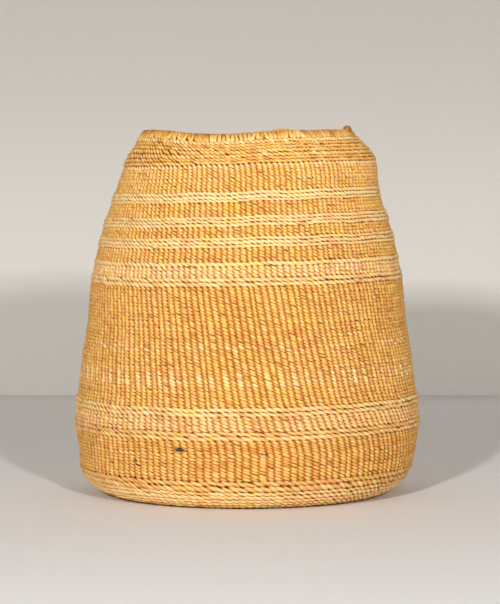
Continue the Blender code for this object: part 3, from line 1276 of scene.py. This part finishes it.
@dataclass
class WovenWall:
    """Every row of the wall, from the turn at the foot to the foot of the rim."""

    weaver: Weaver
    stakes: int = 156

    def build(self) -> None:
        """Lay the bands in order and dress each of them."""
        wall = self.weaver.wall
        rise_per_share = (wall.height - wall.rim_height) / sum(
            band.rows * band.kind.share for band in BANDS
        )
        draw = np.random.default_rng(self.weaver.seed)
        bottom = 0.0
        for band in BANDS:
            row_rise = band.kind.share * rise_per_share
            edges = np.arange(band.rows + 1.0)
            edges[1:-1] += draw.normal(0.0, self.weaver.row_jitter, band.rows - 1)
            edges = bottom + edges * row_rise
            share = math.ceil(band.rows / band.parts)
            for part in range(band.parts):
                parts = MeshParts()
                for row in range(part * share, min((part + 1) * share, band.rows)):
                    tone = band.tone + (band.row_tones[row] if band.row_tones else 0.0)
                    self.weaver.lay_row(
                        parts, band.kind.strands, self.stakes, edges[row], edges[row + 1], tone,
                        band.pale_strand,
                    )
                suffix = f"_{part + 1}" if band.parts > 1 else ""
                dress(parts.piece(f"{band.node}_twined{suffix}"), band.finish, band.node)
            bottom += band.rows * row_rise


@dataclass
class WovenBase:
    """The flat base: rows of plain twining, ring on ring, with more stakes further out."""

    weaver: Weaver
    row_height: float = 2.05 * MM
    zones: tuple[tuple[str, float, int], ...] = (
        ("inner", 0.0270, 52), ("middle", 0.0560, 104), ("outer", 0.0840, 156),
    )
    tone: float = 0.45

    def build(self) -> None:
        """Lay the rows of each zone and dress them."""
        wall = self.weaver.wall
        inner = wall.crossing_radius
        for name, outer, stakes in self.zones:
            outer = min(outer, wall.standing_radius)
            rows = round((outer - inner) / self.row_height)
            parts = MeshParts()
            for row in range(rows):
                low, high = (
                    inner + (outer - inner) * edge / rows - wall.standing_radius
                    for edge in (row, row + 1)
                )
                self.weaver.lay_row(parts, BASE_STRANDS, stakes, low, high, self.tone)
            dress(parts.piece(f"base_{name}_rows_twined"), OCHRE_WEFT, "base_flat_rows")
            inner = outer


@dataclass
class StakeFan:
    """The upright stakes, hidden in the weave from the base to the rim."""

    wall: WallShape
    hand: Hand
    stakes: int = 156
    half_width: float = 0.85 * MM
    half_thickness: float = 0.52 * MM
    cuts: int = 54
    starts: tuple[float, ...] = (0.0115, 0.0270, 0.0560)
    end_below_top: float = 3.0 * MM
    map_apart_mm: float = 11.0
    tone: float = 0.5

    def build(self) -> None:
        """Model one stake and copy it along the form."""
        select_only()
        bpy.ops.mesh.primitive_cylinder_add(
            vertices=4, radius=1.0, depth=1.0, end_fill_type="NGON", location=(0.0, 0.0, 0.5)
        )
        rod = bpy.context.object
        apply_place(rod)
        subdivide_along(rod, 2, 1.0, self.cuts)
        bpy.ops.object.mode_set(mode="OBJECT")
        across, out, up = read_numbers(rod.data.vertices, "co", 3).T
        faces = read_numbers(rod.data.loops, "vertex_index", 1, int).reshape(-1, 4)
        bpy.data.objects.remove(rod, do_unlink=True)
        parts = MeshParts()
        top = float(self.wall.length_at(self.wall.height - self.end_below_top))
        for stake in range(self.stakes):
            start = self.starts[stake % len(self.starts)]
            length = start + (top - start) * up
            rise = self.wall.at_length("rise", length)
            middle = self.hand.stake_turn(np.full(len(up), float(stake)), self.stakes, rise)
            radius = np.maximum(self.wall.at_length("radius", length), self.starts[0])
            turn = middle + across * self.half_width / radius
            points = self.wall.place(
                length, turn, out * self.half_thickness, self.hand.bulge(turn, rise)
            )
            face_map = np.stack(
                [length[faces] / MM, across[faces] + stake * self.map_apart_mm], axis=2
            )
            # The wall's form mirrors the rod, so the faces of the hidden stakes look inward
            # Full painted shade on the stakes, so that they show dark wherever the weave leaves a
            # gap
            parts.add(points, faces, face_map, self.tone, 1.0, 0.0)
        dress(parts.piece("wall_stakes"), BARE_STAKE)


@dataclass
class CrossedStart:
    """The first stakes, two layers laid across each other in the middle of the base.

    The spans hold each stake's added length in millimetres, its shares of height and width,
    and its turn.
    """

    radius: float = 0.0134
    stake_width: float = 2.6 * MM
    layer_height: float = 1.65 * MM
    gap: float = 0.3 * MM
    round_sides: int = 10
    longer: Span = (0, 0.3)
    heights: Span = (0.94, 1.0)
    widths: Span = (0.90, 0.99)
    turns: Span = (-0.02, 0.02)
    edge_width: float = 0.25 * MM
    edge_steps: int = 2
    smooth_angle: float = math.radians(50.0)
    tone: float = 0.5
    # A little painted shade over both crossed layers
    painted_shade: float = 0.1
    seed: int = 5

    def build(self) -> None:
        """Model both layers."""
        self._layer("lower_crossed_stakes", self.layer_height / 2, 0.0)
        self._layer("upper_crossed_stakes", self.layer_height * 1.5 + self.gap, math.pi / 2)

    def _layer(self, node: str, height: float, turn: float) -> None:
        """Lay one layer of stakes side by side.

        Args:
            node: CAD node that the layer stands for.
            height: Height of the stakes' middles.
            turn: Which way they lie.
        """
        draw = np.random.default_rng(self.seed + int(turn))
        half_count = int(self.radius / self.stake_width)
        rods = []
        for i in range(-half_count, half_count + 1):
            across = i * self.stake_width
            half_length = math.sqrt(max(self.radius**2 - across**2, 0.0))
            half_length += draw.uniform(*self.longer) * MM
            select_only()
            bpy.ops.mesh.primitive_cylinder_add(
                vertices=self.round_sides, radius=0.5, depth=2 * half_length,
                location=(0.0, across, 0.0), rotation=(0.0, math.pi / 2, 0.0),
            )
            rod = bpy.context.object
            rod.scale = (self.layer_height * draw.uniform(*self.heights),
                         self.stake_width * draw.uniform(*self.widths), 1.0)
            rod.rotation_euler.z += draw.uniform(*self.turns)
            apply_place(rod)
            edges = rod.modifiers.new("worn edges", "BEVEL")
            edges.width = self.edge_width
            edges.segments = self.edge_steps
            bpy.ops.object.modifier_apply(modifier=edges.name)
            rods.append(rod)
        layer = joined(rods, node + "_round")
        layer.rotation_euler.z = turn
        layer.location.z = height
        apply_place(layer)
        bpy.ops.object.shade_smooth_by_angle(angle=self.smooth_angle)
        map_rods(layer.data, turn, self.tone, self.painted_shade)
        dress(layer, BARE_STAKE, node)


@dataclass
class Rim:
    """The edge of the mouth: bent-down stakes, the strand that whips them, and its knot.

    Spans of top, foot and pit are of the sine of a turn's angle. Marks are degrees and half
    widths in millimetres. Jitters are how much the strand's turns differ in width, lean,
    reach, shade, height and top. A turn of the knot has two tilts and a radius.
    """

    weaver: Weaver
    wraps: int = 176
    wrap_steps: int = 16
    wrap_sides: int = 6
    half_height: float = 2.9 * MM
    half_depth: float = 1.45 * MM
    below_top: float = 0.4 * MM
    out_fullness: float = 0.6
    up_fullness: float = 0.75
    gather: float = 0.5
    jitters: tuple[float, ...] = (0.16, 0.20, 0.07 * MM, 0.12, 0.05, 0.05 * MM)
    own_span: Span = (0.3, 0.7)
    strand_half_width: float = 1.38 * MM
    strand_half_thickness: float = 0.36 * MM
    strand_step_mm: float = 1.3
    side_step_mm: float = 1.1
    tone: float = 0.60
    top_shade: float = 0.30
    top_span: Span = (-0.4, 0.5)
    foot_light: float = 0.40
    foot_span: Span = (0.5, 0.95)
    # Painted shade where a turn dives into the weave under the rim, and along the strand's edges
    # where the turns meet
    pit_painted_shade: float = 0.2
    pit_span: Span = (0.80, 1.0)
    edge_painted_shade: float = 0.32
    edge_power: int = 3
    marks: tuple[tuple[float, float], ...] = (
        (-152.0, 2.6), (-116.0, 1.5), (-109.5, 2.2), (-102.0, 2.0), (-60.0, 1.6), (75.0, 3.0),
    )
    mark_strength: float = 0.62
    mark_span: Span = (0.4, 1.1)
    mark_top_span: Span = (-0.5, 0.6)
    core_rows: int = 2
    core_stakes: int = 78
    core_clear: float = 0.9 * MM
    core_tone: float = 0.45
    mouth_radius: float = 0.066
    seed: int = 31
    loop_turn: float = math.radians(-71.5)
    loop_span: float = 11.0 * MM
    loop_height: float = 0.6 * MM
    loop_fullness: float = 0.8
    loop_wave: float = 0.6 * MM
    loop_strand_radius: float = 0.72 * MM
    loop_points: int = 13
    loop_tone: float = 0.34
    knot_turn: float = math.radians(-17.0)
    knot_size: tuple[float, float, float] = (5.6 * MM, 6.4 * MM, 4.6 * MM)
    knot_lift: float = 0.6 * MM
    knot_out: float = 1.5 * MM
    knot_turns: tuple[tuple[float, float, float], ...] = (
        (0.35, 0.5, 0.60), (-0.6, 0.25, 0.54), (0.1, -0.8, 0.48),
    )
    knot_strand: float = 0.34
    knot_core: float = 0.86
    knot_reach: float = 0.95
    knot_tone: float = 0.4

    def build(self) -> None:
        """Build the rim from its core outward."""
        self._build_core()
        self._build_overcasting()
        self._build_loop()
        self._build_knot()

    def _build_core(self) -> None:
        """Lay the stakes' ends, bent down along the mouth and twisted together."""
        wall = self.weaver.wall
        parts = MeshParts()
        low = wall.height - wall.rim_height + self.core_clear
        step = (wall.rim_height - 2 * self.core_clear) / self.core_rows
        for row in range(self.core_rows):
            self.weaver.lay_row(
                parts, CORE_STRANDS, self.core_stakes, low + row * step, low + (row + 1) * step,
                self.core_tone,
            )
        dress(parts.piece("rim_turned_stakes_twisted"), BARE_STAKE, "rim_turned_stakes")

    def _varied(self, draw: np.random.Generator, place: Array, spread: float) -> Array:
        """Draw a value for each turn, which changes to the next one's inside the mouth.

        Args:
            draw: Seeded source.
            place: Place along the strand, counted in turns.
            spread: How much the turns differ.

        Returns:
            The value at each place.
        """
        own = draw.normal(0.0, spread, self.wraps)
        share = smooth_step(self.own_span, place - np.floor(place))
        first = np.floor(place).astype(int) % self.wraps
        return own[first] + (own[(first + 1) % self.wraps] - own[first]) * share

    def _build_overcasting(self) -> None:
        """Wind the strand over the rim and through the weave below it, again and again."""
        wall, hand = self.weaver.wall, self.weaver.hand
        draw = np.random.default_rng(self.seed)
        place = np.arange(self.wraps * self.wrap_steps) / self.wrap_steps
        cosine, sine = np.cos(-math.tau * place), np.sin(-math.tau * place)
        width, lean, reach, shade, height, top = (
            self._varied(draw, place, spread) for spread in self.jitters
        )
        out = (self.half_depth + reach) * np.sign(cosine) * np.abs(cosine) ** self.out_fullness
        up = self.half_height * (1.0 + height) * (
            np.sign(sine) * np.abs(sine) ** self.up_fullness - 1.0
        )
        nearest = np.floor(place + 0.5)
        turned = math.tau * (place + 0.5 - nearest)
        stakes = nearest + (turned + self.gather * np.sin(turned)) / math.tau - 0.5
        turn = hand.stake_turn(stakes + lean * sine, self.wraps, wall.rim_middle)
        drift, bulge = hand.row_drift(turn, wall.rim_middle), hand.bulge(turn, wall.rim_middle)
        head = float(wall.length_at(wall.height))
        path = wall.place(head - (self.below_top + top) + up + drift, turn, out, bulge)
        core = wall.place(head - self.half_height + drift, turn, 0.0, bulge)
        half_width = self.strand_half_width * (1.0 + width)
        points, faces, face_map, round_angle = self._tube(path, core, half_width)

        tone = self.tone + shade - self.top_shade * smooth_step(self.top_span, sine)
        tone = tone + self.foot_light * smooth_step(self.foot_span, -sine) * (cosine > 0.0)
        # Painted shade at each turn's pit and along its edges
        painted_shade = (
            np.repeat(smooth_step(self.pit_span, -sine) * self.pit_painted_shade, self.wrap_sides)
            + np.tile(self.edge_painted_shade * np.abs(np.cos(round_angle)) ** self.edge_power,
                      len(place))
        )
        dark = np.zeros(len(place))
        for degrees, mark_mm in self.marks:
            off = np.angle(np.exp(1j * (turn - math.radians(degrees)))) * self.mouth_radius
            near = 1.0 - smooth_step(self.mark_span, np.abs(off) / (mark_mm * MM))
            on_top = smooth_step(self.mark_top_span, sine)
            dark = np.maximum(dark, self.mark_strength * near * on_top)
        parts = MeshParts()
        tone, dark = (np.repeat(value, self.wrap_sides) for value in (tone, dark))
        centres = np.repeat(path, self.wrap_sides, axis=0)
        parts.add(points, faces, face_map, tone, painted_shade, dark, centres)
        dress(parts.piece("rim_overcasting_strand"), OVERCAST_STRAND, "rim_overcasting")

    def _tube(self, path: Array, core: Array, half_width: Array
              ) -> tuple[Array, Array, Array, Array]:
        """Lay a flat closed strand along a path, with its breadth to the rim's core.

        Args:
            path: Middle of the strand at each step.
            core: Point of the core that each step goes round.
            half_width: Half width of the strand at each step.

        Returns:
            Vertex places, faces, map places of their corners, and angles round the strand.
        """
        ahead = unit(np.roll(path, -1, axis=0) - np.roll(path, 1, axis=0))
        away = path - core
        away = unit(away - np.sum(away * ahead, axis=1, keepdims=True) * ahead)
        side = np.cross(ahead, away)
        angle = math.tau * np.arange(self.wrap_sides) / self.wrap_sides
        points = (
            path[:, None, :]
            + side[:, None, :] * (half_width[:, None] * np.cos(angle))[..., None]
            + away[:, None, :] * (self.strand_half_thickness * np.sin(angle))[None, :, None]
        ).reshape(-1, 3)
        step, column = np.indices((len(path), self.wrap_sides))
        corners = [(step + i, column + j) for i, j in FACE_CORNERS]
        faces = [s % len(path) * self.wrap_sides + c % self.wrap_sides for s, c in corners]
        places = [(s * self.strand_step_mm, c * self.side_step_mm) for s, c in corners]
        faces = np.stack(faces, axis=2).reshape(-1, 4)
        face_map = np.stack([np.stack(place, axis=2) for place in places], axis=2)
        face_map = face_map.reshape(-1, 4, 2)
        return points, faces, face_map, angle

    def _seat(self, turn: float) -> Array:
        """Find the place on top of the overcasting at an angle.

        Args:
            turn: Angle round the mouth.

        Returns:
            The place.
        """
        wall, hand = self.weaver.wall, self.weaver.hand
        at = np.array([turn])
        length = wall.length_at(wall.height) + hand.row_drift(at, wall.rim_middle)
        return wall.place(length, at, 0.0, hand.bulge(at, wall.rim_middle))[0]

    def _build_loop(self) -> None:
        """Lay the slack loop of the whipping strand that stands off the rim."""
        curve = bpy.data.curves.new("loop", "CURVE")
        curve.dimensions = "3D"
        curve.bevel_depth = self.loop_strand_radius
        curve.bevel_resolution = 2
        curve.use_fill_caps = True
        spline = curve.splines.new("NURBS")
        spline.points.add(self.loop_points - 1)
        for i, point in enumerate(spline.points):
            part = i / (self.loop_points - 1)
            turn = self.loop_turn + (part - 0.5) * self.loop_span / self.mouth_radius
            x, y, z = self._seat(turn)
            lift = self.loop_height * math.sin(part * math.pi) ** self.loop_fullness
            out = self.loop_wave * math.sin(part * math.tau)
            point.co = (x + out * math.cos(turn), y + out * math.sin(turn), z + lift, 1.0)
        spline.use_endpoint_u = True
        spline.order_u = 4
        loop = linked("rim_slack_loop_strand", curve)
        select_only(loop)
        bpy.ops.object.convert(target="MESH")
        map_rods(loop.data, self.loop_turn + math.pi / 2, self.loop_tone)
        bpy.ops.object.shade_smooth()
        dress(loop, OVERCAST_STRAND, "rim_slack_loop")

    def _build_knot(self) -> None:
        """Tie the finishing knot: three turns of a thin dark strand, drawn tight."""
        select_only()
        turns = []
        for tilt_x, tilt_y, size in self.knot_turns:
            bpy.ops.mesh.primitive_torus_add(
                major_radius=size, minor_radius=self.knot_strand, major_segments=20,
                minor_segments=8, rotation=(tilt_x, tilt_y, 0.0),
            )
            turns.append(bpy.context.object)
        bpy.ops.mesh.primitive_uv_sphere_add(segments=16, ring_count=10, radius=self.knot_core)
        turns.append(bpy.context.object)
        knot = joined(turns, "rim_end_knot_drawn")
        apply_place(knot)
        x, y, z = self._seat(self.knot_turn)
        knot.scale = tuple(side / 2 / self.knot_reach for side in self.knot_size)
        knot.rotation_euler.z = self.knot_turn
        knot.location = (x + self.knot_out * math.cos(self.knot_turn),
                         y + self.knot_out * math.sin(self.knot_turn), z + self.knot_lift)
        apply_place(knot)
        map_rods(knot.data, self.knot_turn + math.pi / 2, self.knot_tone)
        bpy.ops.object.shade_smooth()
        dress(knot, BROWN_KNOT, "rim_end_knot")


@dataclass
class Studio:
    """A plain pale table and wall, two broad soft lamps and the camera.

    The fields in px are the photograph's: its focal length and size, the row of the horizon
    and the column of the basket's axis. A lamp in front has a name, side, power and height.
    """

    focal_px: float = 2600.0
    picture_height_px: float = 604.0
    picture_width_px: float = 500.0
    horizon_px: float = 165.0
    axis_px: float = 247.0
    sensor: float = 36.0
    camera_distance: float = 1.654
    camera_height: float = 0.208
    board_size: float = 8.0
    table_below: float = 0.8 * MM
    wall_behind: float = 0.70
    wall_centre: float = 3.9
    table: PlainFinish = PlainFinish("pale_table", "#F0ECE8")
    # Painted shade towards the wall's top, for the lamps' light falling off
    backdrop: PlainFinish = PlainFinish(
        "pale_wall", "#DBD6CF", "#BAB4AD", (0.05 - wall_centre, 0.40 - wall_centre)
    )
    lamps: tuple[tuple[str, float, float, float], ...] = (
        ("soft_lamp_left", -1.0, 40.0, 0.72), ("soft_lamp_right", 1.0, 31.6, 0.68),
    )
    lamp_size: float = 0.11
    lamp_out: float = 0.58
    lamp_back: float = 2.2
    lamp_aim: float = 0.12
    top_power: float = 2.4
    top_size: float = 1.2
    top_height: float = 1.7
    top_back: float = 0.35
    sky_colour: str = "#FAF6F0"
    sky_strength: float = 0.055
    backdrop_strength: float = 0.72

    def build(self) -> None:
        """Set the table, the lamps and the camera."""
        self._build_stage()
        self._build_lamps()
        self._build_sky()
        self._build_camera()
        bpy.context.scene.view_settings.view_transform = "Standard"

    def _build_stage(self) -> None:
        """Lay the table top, and stand the wall behind it."""
        for name, finish, place, tilt in (
            ("studio_table", self.table, (0.0, 0.0, -self.table_below), 0.0),
            ("studio_wall", self.backdrop, (0.0, self.wall_behind, self.wall_centre),
             math.pi / 2),
        ):
            select_only()
            bpy.ops.mesh.primitive_plane_add(
                size=self.board_size, location=place, rotation=(tilt, 0.0, 0.0)
            )
            board = bpy.context.object
            board.name = name
            board.data.materials.append(finish.material)

    def _build_lamps(self) -> None:
        """Hang two soft lamps in front, left and right, and one above."""
        reach = math.hypot(self.lamp_out, self.lamp_back)
        aside = math.atan2(self.lamp_out, self.lamp_back)
        lamps = [
            (name, self.lamp_size, power, (side * self.lamp_out, -self.lamp_back, height),
             (math.pi / 2 - math.atan2(height - self.lamp_aim, reach), 0.0, side * aside))
            for name, side, power, height in self.lamps
        ]
        lamps.append(("soft_top_lamp", self.top_size, self.top_power,
                      (0.0, -self.top_back, self.top_height), (0.0, 0.0, 0.0)))
        for name, size, power, place, turn in lamps:
            lamp = bpy.data.lights.new(name, "AREA")
            lamp.shape = "SQUARE"
            lamp.size = size
            lamp.energy = power
            holder = linked(name, lamp)
            holder.location, holder.rotation_euler = place, turn

    def _build_sky(self) -> None:
        """Set an even sky, which the camera sees brighter than it lights."""
        world = bpy.data.worlds.new("even_sky")
        bpy.context.scene.world = world
        world.use_nodes = True
        sky = world.node_tree.nodes["Background"]
        sky.inputs["Color"].default_value = linear_colour(self.sky_colour)
        seen = add_node(world.node_tree, "LightPath")
        strength = add_node(
            world.node_tree, "Math",
            {1: self.backdrop_strength - self.sky_strength, 2: self.sky_strength},
            {0: seen.outputs["Is Camera Ray"]}, operation="MULTIPLY_ADD",
        )
        world.node_tree.links.new(strength.outputs[0], sky.inputs["Strength"])

    def _build_camera(self) -> None:
        """Set the camera as far and as high as the photograph was taken from."""
        camera = bpy.data.cameras.new("camera")
        camera.sensor_width = self.sensor
        camera.lens = self.focal_px / self.picture_height_px * self.sensor
        holder = linked("camera", camera)
        aside = (self.picture_width_px / 2 - self.axis_px) / self.focal_px * self.camera_distance
        holder.location = (aside, -self.camera_distance, self.camera_height)
        pitch = math.atan((self.picture_height_px / 2 - self.horizon_px) / self.focal_px)
        holder.rotation_euler = (math.pi / 2 - pitch, 0.0, 0.0)
        bpy.context.scene.camera = holder


def main() -> None:
    """Build the basket from the middle of its base to its rim, and then the studio."""
    logging.basicConfig(level=logging.INFO, format="%(name)s: %(message)s")
    weaver = Weaver(WallShape(), Hand())
    CrossedStart().build()
    WovenBase(weaver).build()
    WovenWall(weaver).build()
    StakeFan(weaver.wall, weaver.hand).build()
    Rim(weaver).build()
    Studio().build()


if __name__ == "__main__":
    main()
